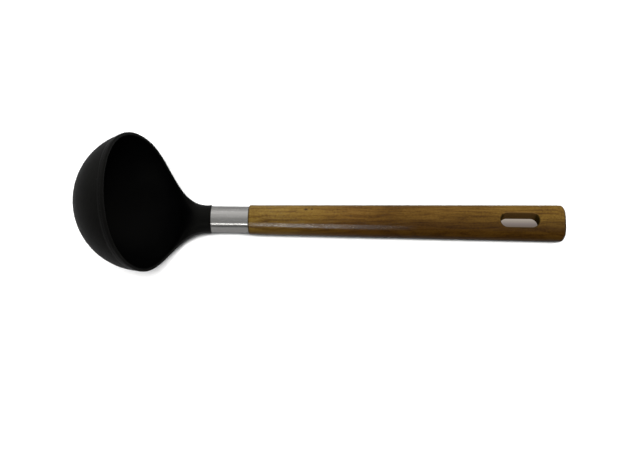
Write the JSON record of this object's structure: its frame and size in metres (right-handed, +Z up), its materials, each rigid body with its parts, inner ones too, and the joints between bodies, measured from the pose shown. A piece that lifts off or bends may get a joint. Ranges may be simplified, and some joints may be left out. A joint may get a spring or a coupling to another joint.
{
  "type": "soup ladle",
  "caption": "Soup ladle with a deep black moulded bowl, a brushed steel ferrule and a tapered wooden handle with a hanging slot.",
  "frame": {"origin": "middle of the ladle's box, on the table that it lies on with its bowl's mouth up", "axes": "+Y along the handle from the bowl to the hanging slot, +Z up, +X across the bowl"},
  "size_m": [0.0906, 0.3191, 0.0865],
  "materials": {
    "black_nylon": "satin moulded",
    "stainless_steel": "brushed round its length",
    "acacia_wood": "oiled, with fine open pores"
  },
  "bodies": {
    "root": {"head": "black_nylon", "ferrule": "stainless_steel", "handle": "acacia_wood"}
  },
  "joints": []
}
